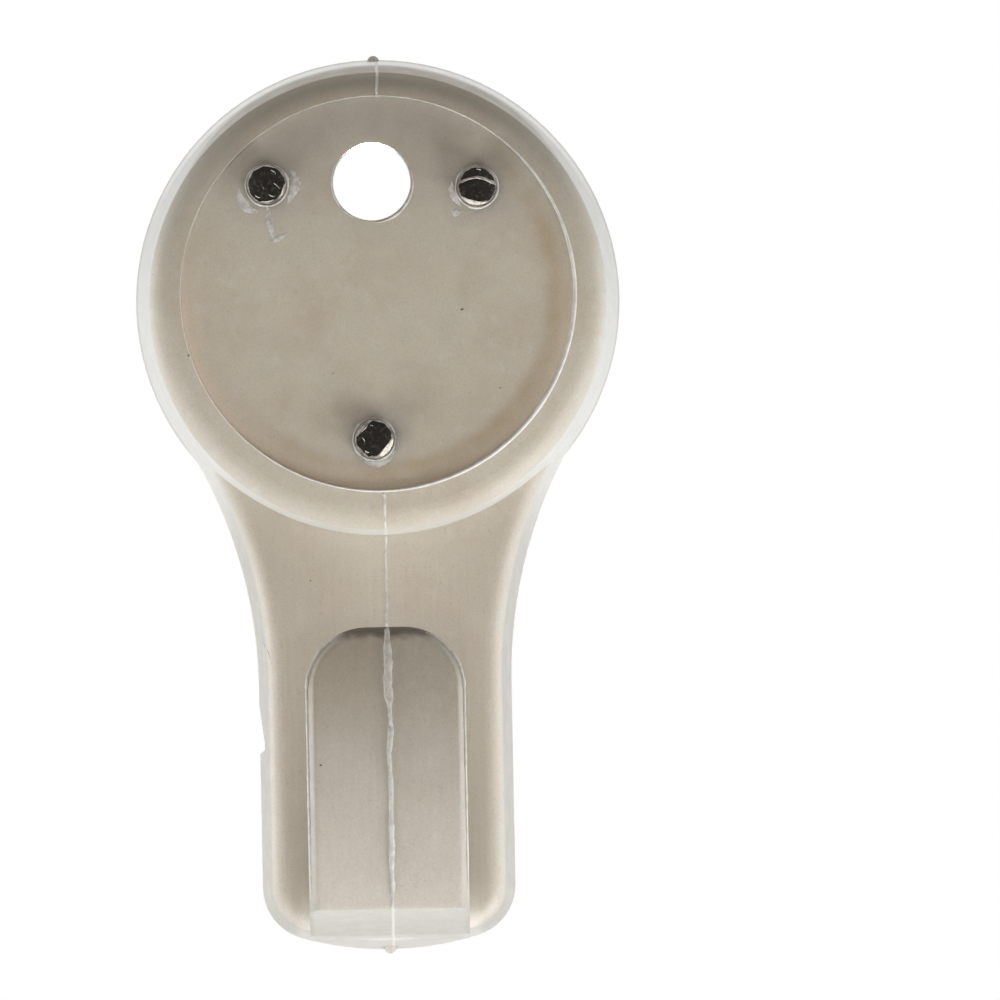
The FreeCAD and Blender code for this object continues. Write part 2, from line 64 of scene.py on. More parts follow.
print("solids:", sorted(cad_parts), "height in mm:", round((hook_high.z - hook_low.z) / MM, 2))

# %% [markdown]
# The camera stands straight in front of the hook, as for a catalogue picture.
# A long lens from nearly a metre keeps the tongue and the plate behind it at nearly the same scale.
# The hook sits left of the middle of the frame and leans a little.
# So the lens is shifted sideways and the camera is rolled, and the hook stays upright and unmoved.

# %% Place the camera
IMAGE_PIXELS = 1000
PIXELS_PER_MM = 22.167
HEAD_PIXEL = Vector((377.8, 301.9))
CAMERA_DISTANCE = 900 * MM
CAMERA_ROLL = math.radians(1.126)
HEAD_RADIUS = 10.9 * MM
NUB_HEIGHT = 0.18 * MM

head_centre = Vector(((hook_low.x + hook_high.x) / 2, 0, hook_high.z - NUB_HEIGHT - HEAD_RADIUS))
frame_width = IMAGE_PIXELS / PIXELS_PER_MM * MM
middle_pixel = IMAGE_PIXELS / 2
drop_pixels = middle_pixel - HEAD_PIXEL.y
axis_pixel = HEAD_PIXEL.x + drop_pixels * math.tan(CAMERA_ROLL)

lens = bpy.data.cameras.new("camera")
lens.lens = lens.sensor_width * CAMERA_DISTANCE / frame_width
lens.shift_x = (middle_pixel - axis_pixel) / IMAGE_PIXELS
lens.clip_start = 1 * MM
camera = bpy.data.objects.new("camera", lens)
camera.location = (head_centre.x, -CAMERA_DISTANCE, head_centre.z - drop_pixels / PIXELS_PER_MM * MM)
camera.rotation_euler = (math.pi / 2, CAMERA_ROLL, 0)
bpy.context.scene.collection.objects.link(camera)
bpy.context.scene.camera = camera
bpy.context.scene.view_settings.view_transform = "Standard"
print("lens in mm:", round(lens.lens, 1), "shift:", round(lens.shift_x, 4))

# %% [markdown]
# Node graphs are easier to read when each node is made in one line.
# These two helpers add a node with its settings, and join a socket to another.
# Every finish and the sky below are built with them.

# %% Helpers for node graphs
def add_node(tree, kind, **settings):
    node = tree.nodes.new(kind)
    for name, value in settings.items():
        setattr(node, name, value)
    return node


def join(tree, source, target):
    tree.links.new(source, target)


print("helpers for node graphs are ready")

# %% [markdown]
# A white room surrounds the hook.
# The camera, mirror-like reflections and clear materials see plain white.
# Diffuse light from the room is kept very dim, so that the lamps can model the form.

# %% Make the white surroundings
SKY_LIGHT = (1.0, 0.92, 0.80, 1)
SKY_STRENGTH = 0.02

world = bpy.data.worlds.new("white_room")
bpy.context.scene.world = world
world.use_nodes = True
sky = world.node_tree
sky.nodes.clear()
path = add_node(sky, "ShaderNodeLightPath")
seen = add_node(sky, "ShaderNodeMath", operation="MAXIMUM")
join(sky, path.outputs["Is Camera Ray"], seen.inputs[0])
join(sky, path.outputs["Is Glossy Ray"], seen.inputs[1])
white_rays = add_node(sky, "ShaderNodeMath", operation="MAXIMUM")
join(sky, seen.outputs[0], white_rays.inputs[0])
join(sky, path.outputs["Is Transmission Ray"], white_rays.inputs[1])
fill = add_node(sky, "ShaderNodeBackground")
fill.inputs["Color"].default_value = SKY_LIGHT
fill.inputs["Strength"].default_value = SKY_STRENGTH
white = add_node(sky, "ShaderNodeBackground")
white.inputs["Color"].default_value = (1, 1, 1, 1)
sky_mix = add_node(sky, "ShaderNodeMixShader")
join(sky, white_rays.outputs[0], sky_mix.inputs["Fac"])
join(sky, fill.outputs[0], sky_mix.inputs[1])
join(sky, white.outputs[0], sky_mix.inputs[2])
sky_out = add_node(sky, "ShaderNodeOutputWorld")
join(sky, sky_mix.outputs[0], sky_out.inputs["Surface"])
print("sky strength for diffuse light:", SKY_STRENGTH)

# %% [markdown]
# Soft boxes low on both sides light the underside of the tongue and the lower rim.
# Others just behind the hook brush its steep edges, which turn pale, and leave the top of the face dim.
# An area lamp with a wide side gives soft shadows, and its power is set from the light that
# should arrive: power is light times pi squared times the distance squared, for a far lamp.
# The lamp above is kept out of reflections, or it would draw a shiny streak along the top of the ring.
# One more lamp lights the flat back. It is narrow, so that none of its light reaches round the edges.

# %% Hang the soft boxes
LAMP_DISTANCE = 160 * MM
LAMP_SIZE = 120 * MM
NARROW_SIZE = 16 * MM
WARM = (1.0, 0.85, 0.65)
object_centre = (hook_low + hook_high) / 2


def soft_box(name, direction, light, colour=(1, 1, 1), size=LAMP_SIZE):
    data = bpy.data.lights.new(name, "AREA")
    data.shape = "DISK"
    data.size = size
    data.color = colour
    data.energy = light * math.pi ** 2 * LAMP_DISTANCE ** 2
    lamp = bpy.data.objects.new(name, data)
    towards = Vector(direction).normalized()
    lamp.location = object_centre + towards * LAMP_DISTANCE
    lamp.rotation_euler = towards.to_track_quat("Z", "Y").to_euler()
    lamp.visible_camera = False
    bpy.context.scene.collection.objects.link(lamp)
    return lamp


soft_box("box_front", (0, -1, 0), 0.17, WARM)
soft_box("box_left", (-1, -0.1, 0), 0.16)
soft_box("box_right", (1, -0.1, 0), 0.22)
soft_box("box_lower_left", (-0.7, -0.3, -0.7), 0.64)
soft_box("box_lower_right", (0.7, -0.3, -0.7), 0.83)
soft_box("box_left_behind", (-1, 0.25, 0), 0.38)
soft_box("box_right_behind", (1, 0.25, 0), 0.19)
soft_box("box_top_behind", (0, 0.25, 1), 0.60).visible_glossy = False
soft_box("box_back", (0, 1, 0), 0.50, size=NARROW_SIZE)

# %% [markdown]
# The hook hangs on a wall, so the floor lies a little below it and out of the picture.
# A flat disc is enough for that, and it is not attached to the hook.
# It doesn't shade the hook, or it would shut out the low lamps.

# %% Lay the floor
FLOOR_GAP = 12 * MM
FLOOR_RADIUS = 170 * MM
FLOOR_SIDES = 96

floor_mesh = bpy.data.meshes.new("floor")
floor_form = bmesh.new()
bmesh.ops.create_circle(floor_form, cap_ends=True, segments=FLOOR_SIDES, radius=FLOOR_RADIUS)
floor_form.to_mesh(floor_mesh)
floor_form.free()
floor = bpy.data.objects.new("floor", floor_mesh)
floor.location = (object_centre.x, object_centre.y, hook_low.z - FLOOR_GAP)
floor.visible_shadow = False
bpy.context.scene.collection.objects.link(floor)
print("floor below the hook by mm:", FLOOR_GAP / MM)

# %% [markdown]
# The floor is matt and nearly white near its middle, where it takes the soft shadow.
# Towards its edge it has to melt into the white room, or its rim would show as a line.
# So a matt and a clear shader are mixed, and the distance from the middle sets the share of each.

# %% Fade the floor
FLOOR_WHITE = (0.92, 0.92, 0.92, 1)
FADE_START = 0.25 * FLOOR_RADIUS
FADE_END = 0.9 * FLOOR_RADIUS

floor_paint = bpy.data.materials.new("pale_floor")
floor_paint.use_nodes = True
tree = floor_paint.node_tree
tree.nodes.clear()
place = add_node(tree, "ShaderNodeTexCoord")
span = add_node(tree, "ShaderNodeVectorMath", operation="LENGTH")
join(tree, place.outputs["Object"], span.inputs[0])
fade = add_node(tree, "ShaderNodeMapRange", interpolation_type="SMOOTHSTEP")
join(tree, span.outputs["Value"], fade.inputs["Value"])
fade.inputs["From Min"].default_value = FADE_START
fade.inputs["From Max"].default_value = FADE_END
matt = add_node(tree, "ShaderNodeBsdfDiffuse")
matt.inputs["Color"].default_value = FLOOR_WHITE
clear = add_node(tree, "ShaderNodeBsdfTransparent")
floor_mix = add_node(tree, "ShaderNodeMixShader")
join(tree, fade.outputs["Result"], floor_mix.inputs["Fac"])
join(tree, matt.outputs[0], floor_mix.inputs[1])
join(tree, clear.outputs[0], floor_mix.inputs[2])
floor_out = add_node(tree, "ShaderNodeOutputMaterial")
join(tree, floor_mix.outputs[0], floor_out.inputs["Surface"])
floor_mesh.materials.append(floor_paint)
print("floor fades between mm:", round(FADE_START / MM, 1), "and", round(FADE_END / MM, 1))

# %% [markdown]
# All finishes are painted by place, so every graph starts from the object's own coordinates.
# They are turned into millimetres, because marks on the hook were measured in millimetres.
# The other helpers start a finish and put it on a piece.

# %% Helpers for finishes
def new_finish(name):
    material = bpy.data.materials.new(name)
    material.use_nodes = True
    return material, material.node_tree, material.node_tree.nodes["Principled BSDF"]


def dress(piece, material):
    piece.data.materials.clear()
    piece.data.materials.append(material)


def millimetres(tree):
    place = add_node(tree, "ShaderNodeTexCoord")
    scaled = add_node(tree, "ShaderNodeVectorMath", operation="SCALE")
    join(tree, place.outputs["Object"], scaled.inputs[0])
    scaled.inputs["Scale"].default_value = 1 / MM
    return scaled.outputs["Vector"]


print("helpers for finishes are ready")

# %% [markdown]
# A mask is a number from nought to one that says how much of a colour a place gets.
# Masks come from noise, from a soft step between two values, or from the distance to a point.
# Several masks overlap where all of them are strong, and a blend lays one colour over another by a mask.

# %% Helpers for masks and colours
def grain(tree, where, per_mm, detail=4):
    speckle = add_node(tree, "ShaderNodeTexNoise")
    join(tree, where, speckle.inputs["Vector"])
    speckle.inputs["Scale"].default_value = per_mm
    speckle.inputs["Detail"].default_value = detail
    return speckle.outputs["Fac"]


def soft_step(tree, value, start, end, low=0.0, high=1.0):
    step = add_node(tree, "ShaderNodeMapRange", interpolation_type="SMOOTHSTEP")
    join(tree, value, step.inputs["Value"])
    for socket, number in (("From Min", start), ("From Max", end), ("To Min", low), ("To Max", high)):
        step.inputs[socket].default_value = number
    return step.outputs["Result"]


def calculate(tree, operation, *values):
    node = add_node(tree, "ShaderNodeMath", operation=operation)
    for socket, value in zip(node.inputs, values):
        if isinstance(value, (int, float)):
            socket.default_value = value
        else:
            join(tree, value, socket)
    return node.outputs[0]


def overlap(tree, first, *others):
    product = first
    for mask in others:
        product = calculate(tree, "MULTIPLY", product, mask)
    return product


def blend(tree, amount, below, above):
    mixer = add_node(tree, "ShaderNodeMix", data_type="RGBA")
    join(tree, amount, mixer.inputs["Factor"])
    for socket, colour in (("A", below), ("B", above)):
        target = next(item for item in mixer.inputs if item.name == socket and item.type == "RGBA")
        if isinstance(colour, tuple):
            target.default_value = colour
        else:
            join(tree, colour, target)
    return next(item for item in mixer.outputs if item.type == "RGBA")


def distance_from(tree, where, x, z):
    flat = add_node(tree, "ShaderNodeVectorMath", operation="MULTIPLY")
    join(tree, where, flat.inputs[0])
    flat.inputs[1].default_value = (1, 0, 1)
    gap = add_node(tree, "ShaderNodeVectorMath", operation="DISTANCE")
    join(tree, flat.outputs["Vector"], gap.inputs[0])
    gap.inputs[1].default_value = (x, 0, z)
    return gap.outputs["Value"]


print("helpers for masks and colours are ready")

# %% [markdown]
# The hook is moulded in a warm off-white plastic with a satin skin.
# It flowed into a cold mould, so its colour is a little cloudy, browner in patches and streaked.
# Two noises of different size make the patches and the streaks.

# %% Cloud the plastic
PLASTIC = (0.566, 0.524, 0.443, 1)
BROWNER = (0.500, 0.425, 0.345, 1)
PALER = (0.640, 0.605, 0.555, 1)

plastic, tree, skin = new_finish("moulded_plastic")
where = millimetres(tree)
patches = soft_step(tree, grain(tree, where, 0.32, 6), 0.42, 0.74, 0.0, 0.6)
streaks = soft_step(tree, grain(tree, where, 1.7, 8), 0.48, 0.80, 0.0, 0.45)
colour = blend(tree, patches, PLASTIC, BROWNER)
colour = blend(tree, streaks, colour, PALER)
print("plastic:", PLASTIC[:3])

# %% [markdown]
# The steel pins left dark halos when the plastic shrank round them.
# A halo depends on the distance from a pin's axis, and the nearest pin counts.
# Noise pushes that distance in and out, so that no halo is a perfect ring.
# The colour so far is kept for the back of the hook, which has no other marks.

# %% Darken the plastic round the pins
HALO = (0.225, 0.220, 0.225, 1)
PIN_RADIUS = 0.875
HALO_START = PIN_RADIUS + 0.2
HALO_CORE = PIN_RADIUS + 0.75
HALO_REACH = 2.6

pin_places = []
for pin in pins:
    low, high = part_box(pin.name)
    pin_places.append(((low.x + high.x) / 2 / MM, (low.z + high.z) / 2 / MM))
nearest = None
for x, z in pin_places:
    gap = distance_from(tree, where, x, z)
    nearest = gap if nearest is None else calculate(tree, "MINIMUM", nearest, gap)
ragged = calculate(tree, "MULTIPLY_ADD", grain(tree, where, 2.2), 0.5, nearest)
close = soft_step(tree, ragged, HALO_START, HALO_CORE, 0.45, 0.0)
wide = soft_step(tree, ragged, HALO_START, HALO_REACH, 0.30, 0.0)
colour = blend(tree, calculate(tree, "ADD", close, wide), colour, HALO)
back_colour = colour
print("pins at mm:", [(round(x, 2), round(z, 2)) for x, z in pin_places])

# %% [markdown]
# The round face is sunk below the ring, and the thin wall round it lets warm light through.
# So the face's lower side gets a pale, warm painted glow close to the wall, and a brown painted shadow of the
# wall lies a little further in.
# Both are bands inside the circle where ring and face meet, and the painted shadow fades to the upper left.

# %% Paint light and shade at the edge of the face
FACE_RISE = 0.34
FACE_RADIUS = 8.82
GLOW = (0.830, 0.725, 0.595, 1)
RECESS_SHADOW = (0.420, 0.320, 0.190, 1)
GLOW_RING = (FACE_RADIUS - 1.2, FACE_RADIUS)
SHADOW_INNER = (FACE_RADIUS - 1.5, FACE_RADIUS - 0.8)
SHADOW_OUTER = (FACE_RADIUS - 0.7, FACE_RADIUS - 0.15)

face_x = head_centre.x / MM
face_z = head_centre.z / MM + FACE_RISE
from_face = distance_from(tree, where, face_x, face_z)
axes = add_node(tree, "ShaderNodeSeparateXYZ")
join(tree, where, axes.inputs[0])
across, forward, up = axes.outputs["X"], axes.outputs["Y"], axes.outputs["Z"]
# Painted shadow of the recess wall: a brown band inside the face's lower right edge.
shadow_inner = soft_step(tree, from_face, *SHADOW_INNER)
shadow_outer = soft_step(tree, from_face, *SHADOW_OUTER, 1.0, 0.0)
low_right = soft_step(tree, calculate(tree, "SUBTRACT", across, up), face_x - face_z - 4, face_x - face_z + 8)
uneven = soft_step(tree, grain(tree, where, 0.9), 0.25, 0.7, 0.3, 0.85)
colour = blend(tree, overlap(tree, shadow_inner, shadow_outer, low_right, uneven), colour, RECESS_SHADOW)
on_face = soft_step(tree, from_face, FACE_RADIUS + 0.02, FACE_RADIUS + 0.06, 1.0, 0.0)
# Painted light: a warm glow close to the wall on the face's lower side.
low_side = soft_step(tree, up, face_z - 3, face_z + 4, 0.85, 0.0)
glow = overlap(tree, soft_step(tree, from_face, *GLOW_RING), low_side, on_face)
colour = blend(tree, glow, colour, GLOW)
print("face centre at mm:", round(face_x, 2), round(face_z, 2))

# %% [markdown]
# The plate below the head is paler than the face, and the tongue in front of it is greyer low down.
# The tongue's upper left corner is painted browner, as painted shade, since the light comes mostly from the
# right.
# How far forward a place lies tells the plate from the tongue, and its height does the rest.
# Each pair of numbers is a band in millimetres, and a mask goes from one value to another across it.

# %% Pale the tail, grey the tongue and shade its corner
PALE_TAIL = (0.700, 0.645, 0.575, 1)
GREY_TONGUE = (0.580, 0.560, 0.530, 1)
PLATE_FRONT = (-2.9, -2.6)
TONGUE_BACK = (-6.7, -6.5)
TAIL_TOP = (-17.5, -14.0)
GREY_TOP = (-26.0, -22.5)
SHADE_RIGHT = (-1.2, 0.4)
SHADE_BOTTOM = (-25.0, -21.5)

on_plate = soft_step(tree, forward, *PLATE_FRONT)
on_tongue = soft_step(tree, forward, *TONGUE_BACK, 1.0, 0.0)
on_tail = overlap(tree, on_plate, soft_step(tree, up, *TAIL_TOP, 0.4, 0.0))
colour = blend(tree, on_tail, colour, PALE_TAIL)
low_tongue = overlap(tree, on_tongue, soft_step(tree, up, *GREY_TOP, 0.45, 0.0))
colour = blend(tree, low_tongue, colour, GREY_TONGUE)
# Painted shade on the tongue's upper left, away from the stronger lamps on the right.
left_side = soft_step(tree, across, *SHADE_RIGHT, 0.35, 0.0)
shaded_corner = overlap(tree, on_tongue, left_side, soft_step(tree, up, *SHADE_BOTTOM))
colour = blend(tree, shaded_corner, colour, BROWNER)
print("plate behind mm:", PLATE_FRONT[1], "tongue in front of mm:", TONGUE_BACK[0])

# %% [markdown]
# The steep sides came out of the mould a little frosted, and they are tinted greyer and cooler than the
# front, mostly as a painted reflection of the white room on grazing sides.
# The surface's own normal tells how steep a place is: its y part is minus one on the front.
# The head's side is the palest, and the underside of the hook the greyest, as painted shade that tones down
# the strong low lamps.

# %% Frost the steep sides and paint their reflection
FROST_SHEEN_HEAD = (0.620, 0.625, 0.605, 1)
FROST_SHEEN_TAIL = (0.520, 0.505, 0.470, 1)
FROST_SHADE_UNDER = (0.395, 0.386, 0.365, 1)
STEEP = (-0.93, -0.25)
TAIL_TO_HEAD = (-18, -12)
UNDERSIDE = (-34.0, -32.0)

own_normal = add_node(tree, "ShaderNodeTexCoord")
tilt = add_node(tree, "ShaderNodeSeparateXYZ")
join(tree, own_normal.outputs["Normal"], tilt.inputs[0])
facing = tilt.outputs["Y"]
# Painted reflection: steep sides take a cool tint, and the underside a greyer painted shade.
frost_sheen = blend(tree, soft_step(tree, up, *TAIL_TO_HEAD), FROST_SHEEN_TAIL, FROST_SHEEN_HEAD)
frost_sheen = blend(tree, soft_step(tree, up, *UNDERSIDE, 1.0, 0.0), frost_sheen, FROST_SHADE_UNDER)
colour = blend(tree, soft_step(tree, facing, *STEEP, 0.0, 0.9), colour, frost_sheen)
print("frost from head to underside:", FROST_SHEEN_HEAD[0], FROST_SHEEN_TAIL[0], FROST_SHADE_UNDER[0])

# %% [markdown]
# Thin strips of the plate beside the arm's foot are painted pale, as painted light that lifts the arm's
# shadow, and the plate's lower edge is frosted with a cool painted reflection.
# So are the tongue's lower corners, while the tail's outer edge gets a grey line of painted shade.
# A corner is where two masks meet: their sum is above one only where both are strong.

# %% Paint light by the arm's foot and shade along the edge
FOOT_LIGHT = (0.820, 0.785, 0.730, 1)
FROST_SHEEN_FOOT = (0.600, 0.590, 0.570, 1)
EDGE_SHADE = (0.380, 0.370, 0.340, 1)
STRIP_INNER = (3.2, 3.6)
STRIP_OUTER = (3.7, 4.4)
STRIP_TOP = (-33.4, -31.8)
FOOT_TOP = (-34.0, -33.6)
CORNER_SIDE = (2.7, 3.5)
CORNER_TOP = (-32.7, -31.9)
EDGE_STEEP = (-0.55, -0.25)
EDGE_TOP = (-17.0, -13.0)

off_middle = calculate(tree, "ABSOLUTE", calculate(tree, "SUBTRACT", across, face_x))
# Painted light on the strips beside the arm's foot, where the arm's shadow falls.
beside_arm = overlap(tree, soft_step(tree, off_middle, *STRIP_INNER),
                     soft_step(tree, off_middle, *STRIP_OUTER, 0.85, 0.0))
strips = overlap(tree, beside_arm, soft_step(tree, up, *STRIP_TOP, 1.0, 0.0), on_plate)
colour = blend(tree, strips, colour, FOOT_LIGHT)
# The plate's lower edge: frost with a cool painted reflection.
foot = overlap(tree, on_plate, soft_step(tree, up, *FOOT_TOP, 0.9, 0.0))
colour = blend(tree, foot, colour, FROST_SHEEN_FOOT)
# The tongue's lower corners take the frost and painted reflection tint.
corners = calculate(tree, "ADD", soft_step(tree, off_middle, *CORNER_SIDE),
                    soft_step(tree, up, *CORNER_TOP, 1.0, 0.0))
corners = overlap(tree, soft_step(tree, corners, 1.0, 1.5, 0.0, 0.8), on_tongue)
colour = blend(tree, corners, colour, frost_sheen)
# Painted shade: a grey line along the tail's steep outer edge.
edge = overlap(tree, on_plate, soft_step(tree, facing, *EDGE_STEEP, 0.0, 0.5),
               soft_step(tree, up, *EDGE_TOP, 1.0, 0.0))
colour = blend(tree, edge, colour, EDGE_SHADE)
print("pale strips off the middle by mm:", STRIP_INNER[1], "to", STRIP_OUTER[0])

# %% [markdown]
# The upper part of the head gets painted shade, as less light comes from above, darkest just inside a thin
# rim.
# The rim gets a pale painted highlight, apart from a grey line of painted shade along its wall edge.
# Each mark is a ring round the head's centre, overlapped with a mask that rises slowly up the head.

# %% Paint shade and highlight on the head
TOP_SHADE = (0.330, 0.310, 0.270, 1)
RIM_SHADOW = (0.285, 0.250, 0.195, 1)
RIM_HIGHLIGHT = (0.940, 0.940, 0.915, 1)
RIM_RADIUS = 10.3
RIM_GROWTH = 0.36
RIM_RISE = (-1.0, 4.0)
TOP_SHADE_RISE = (-4.5, 5.0)
RIM_SHADOW_RING = (9.4, 10.3)
RIM_SHADOW_RISE = (-0.5, 4.5)
RIM_HIGHLIGHT_RING = (10.62, 10.70)
RIM_HIGHLIGHT_RISE = (-2.0, 3.0)
WALL_RING = (10.79, 10.86)
WALL_RISE = (-12.5, -11.5)

from_head = distance_from(tree, where, face_x, head_centre.z / MM)
rim_edge = soft_step(tree, up, *RIM_RISE, RIM_RADIUS, RIM_RADIUS + RIM_GROWTH)
inside_rim = soft_step(tree, calculate(tree, "SUBTRACT", rim_edge, from_head), 0.0, 0.15)
# Painted shade over the upper face and ring, weaker on the crest next to the face.
crest_shade_share = soft_step(tree, from_face, FACE_RADIUS + 0.1, FACE_RADIUS + 1.1, 0.25, 1.0)
top_shade_mask = overlap(tree, inside_rim, calculate(tree, "MAXIMUM", on_face, crest_shade_share),
               soft_step(tree, up, *TOP_SHADE_RISE, 0.0, 0.78))
colour = blend(tree, top_shade_mask, colour, TOP_SHADE)
# Painted shadow just inside the rim towards the top.
rim_shadow_mask = overlap(tree, soft_step(tree, from_head, *RIM_SHADOW_RING),
                soft_step(tree, up, *RIM_SHADOW_RISE, 0.0, 0.9), inside_rim)
colour = blend(tree, rim_shadow_mask, colour, RIM_SHADOW)
# Painted highlight on the upper rim.
rim_highlight_mask = overlap(tree, soft_step(tree, from_head, *RIM_HIGHLIGHT_RING), soft_step(tree, up, *RIM_HIGHLIGHT_RISE, 0.0, 0.9))
colour = blend(tree, rim_highlight_mask, colour, RIM_HIGHLIGHT)
# Painted shade: a grey line along the rim's wall edge.
rim_shade_line = overlap(tree, soft_step(tree, from_head, *WALL_RING, 0.0, 0.6), soft_step(tree, up, *WALL_RISE))
colour = blend(tree, rim_shade_line, colour, EDGE_SHADE)
print("pale rim from the head's centre by mm:", RIM_HIGHLIGHT_RING[0])

# %% [markdown]
# A brown band of painted shade runs along the tongue's tip, whose rounded top faces up, away from the low
# lamps.
# It is a mask by height, and noise added to the height makes the lower edge of the band ragged.
# The band fades out towards both corners of the tongue.

# %% Paint shade on the tip
TIP_SHADE = (0.095, 0.068, 0.047, 1)
TIP_Z = -20.0
TIP_SHADE_MIDDLE = 0.3
TIP_SHADE_SIDE = (1.7, 2.6)

# Painted shade along the top of the tongue's tip.
ragged_up = calculate(tree, "MULTIPLY_ADD", grain(tree, where, 1.6, 5), -0.6, up)
tip = soft_step(tree, ragged_up, TIP_Z - 0.95, TIP_Z - 0.5)
off_tip_shade = calculate(tree, "ABSOLUTE", calculate(tree, "SUBTRACT", across, TIP_SHADE_MIDDLE))
tip = overlap(tree, tip, soft_step(tree, off_tip_shade, *TIP_SHADE_SIDE, 0.9, 0.0), on_tongue)
colour = blend(tree, tip, colour, TIP_SHADE)
print("tip of the tongue at mm:", TIP_Z)

# %% [markdown]
# The mould's two halves met a little right of the middle, and a paler line shows where.
# It crosses the ring, the plate and the tongue, but not the face, which another mould part made.
# Noise bends the line a little, because a mould joint is never quite straight.

# %% Pale line at the mould joint
JOINT_X = 0.32
JOINT = (0.660, 0.650, 0.615, 1)
BEND = 0.12
LINE_EDGE = (0.03, 0.09)

bent = calculate(tree, "MULTIPLY_ADD", grain(tree, where, 0.8), BEND, across)
off_joint = calculate(tree, "ABSOLUTE", calculate(tree, "SUBTRACT", bent, JOINT_X + BEND / 2))
line = soft_step(tree, off_joint, *LINE_EDGE, 0.8, 0.0)
off_face = soft_step(tree, from_face, FACE_RADIUS - 0.02, FACE_RADIUS + 0.02)
colour = blend(tree, overlap(tree, line, off_face), colour, JOINT)
print("mould joint at mm:", JOINT_X)

# %% [markdown]
# The flat back lies against the wall and has none of these marks.
# So the cloudy plastic with its halos, kept from before, goes back on wherever the surface faces the wall.

# %% Clear the back
WALL_FACING = (0.5, 0.9)

colour = blend(tree, soft_step(tree, facing, *WALL_FACING), colour, back_colour)
print("back is clear where the normal's y passes", WALL_FACING[1])

# %% [markdown]
# Fine freckles and pores cover the whole moulding, so they come last and only scale the colour.
# Drag lines run up the tail, because the mould slid along it: their noise is stretched along the tail.
# A vector scaled by a number stays the same hue, and colours are vectors too.

# %% Speckle the skin
DRAG_STRETCH = (1, 1, 0.05)
DRAG_TOP = (-18, -15)

pores = soft_step(tree, grain(tree, where, 14, 3), 0.34, 0.66, 0.95, 1.05)
freckles = soft_step(tree, grain(tree, where, 5.5, 2), 0.60, 0.74, 1.0, 0.90)
stretched = add_node(tree, "ShaderNodeVectorMath", operation="MULTIPLY")
join(tree, where, stretched.inputs[0])
stretched.inputs[1].default_value = DRAG_STRETCH
drag = soft_step(tree, grain(tree, stretched.outputs["Vector"], 6, 3), 0.3, 0.7, -0.02, 0.02)
drag = overlap(tree, drag, soft_step(tree, up, *DRAG_TOP, 1.0, 0.0))
marks = calculate(tree, "ADD", overlap(tree, pores, freckles), drag)
speckled = add_node(tree, "ShaderNodeVectorMath", operation="SCALE")
join(tree, colour, speckled.inputs[0])
join(tree, marks, speckled.inputs["Scale"])
join(tree, speckled.outputs["Vector"], skin.inputs["Base Color"])
print("plastic is speckled")

# %% [markdown]
# A satin skin is neither mirror-like nor chalky, and it isn't even: roughness follows a noise.
# The plastic also lets a little light in, which subsurface scattering shows, and it has a faint sheen.

# %% Give the skin its satin
SATIN = (0.34, 0.50)

roughness = soft_step(tree, grain(tree, where, 1.3), 0.3, 0.7, *SATIN)
join(tree, roughness, skin.inputs["Roughness"])
skin.inputs["IOR"].default_value = 1.55
skin.inputs["Sheen Weight"].default_value = 0.10
skin.inputs["Sheen Roughness"].default_value = 0.35
skin.inputs["Subsurface Weight"].default_value = 0.25
skin.inputs["Subsurface Radius"].default_value = (1.0, 0.75, 0.5)
skin.inputs["Subsurface Scale"].default_value = 0.8 * MM
print("roughness between", SATIN[0], "and", SATIN[1])

# %% [markdown]
# The bevel node softens the shading of every sharp edge, as a real mould does, without new geometry.
# The tongue's edges are rounder than the rest, so the node gets a wider radius there.
# Two bumps follow: a slow one for the shrunk, slightly wavy surface, and a fine one for its texture.

# %% Soften the edges and bump the skin
EDGE_SOFTNESS = 0.07 * MM
TONGUE_SOFTNESS = 0.42 * MM
ARM_TOP = (-18.0, -17.0)
ARM_BACK = (-3.2, -2.7)


def bump_skin(normal, per_mm, detail, strength, depth):
    bump = add_node(tree, "ShaderNodeBump")
    bump.inputs["Strength"].default_value = strength
    bump.inputs["Distance"].default_value = depth * MM
    join(tree, grain(tree, where, per_mm, detail), bump.inputs["Height"])
    join(tree, normal, bump.inputs["Normal"])
    return bump.outputs["Normal"]


on_arm = overlap(tree, soft_step(tree, up, *ARM_TOP, 1.0, 0.0), soft_step(tree, forward, *ARM_BACK, 1.0, 0.0))
radius = calculate(tree, "MULTIPLY_ADD", on_arm, TONGUE_SOFTNESS - EDGE_SOFTNESS, EDGE_SOFTNESS)
soft_edges = add_node(tree, "ShaderNodeBevel", samples=4)
join(tree, radius, soft_edges.inputs["Radius"])
waves = bump_skin(soft_edges.outputs["Normal"], 0.55, 4, 0.35, 0.06)
texture = bump_skin(waves, 9, 3, 0.30, 0.008)
join(tree, texture, skin.inputs["Normal"])
dress(hook, plastic)
print("plastic finish has", len(tree.nodes), "nodes")

# %% [markdown]
# The pins are hard steel wire, sheared off in front of the face.
# The wire is dull, the torn part of each end is nearly black, and places the cutter rubbed are bright.
# One helper makes all three, with a noise that mixes two colours, sets the roughness and tears the surface.
# The noise is stretched along the pins, because wire is drawn through a die and keeps lines along its length.

# %% Finish the steel wire
WIRE_STEEL = (0.30, 0.27, 0.24, 1)
DULL_STEEL = (0.15, 0.135, 0.12, 1)
DRAWN = (1, 0.12, 1)
BRIGHT_STEEL = (0.72, 0.69, 0.63, 1)
BLACK_STEEL = (0.020, 0.018, 0.016, 1)
GREY_STEEL = (0.045, 0.040, 0.035, 1)


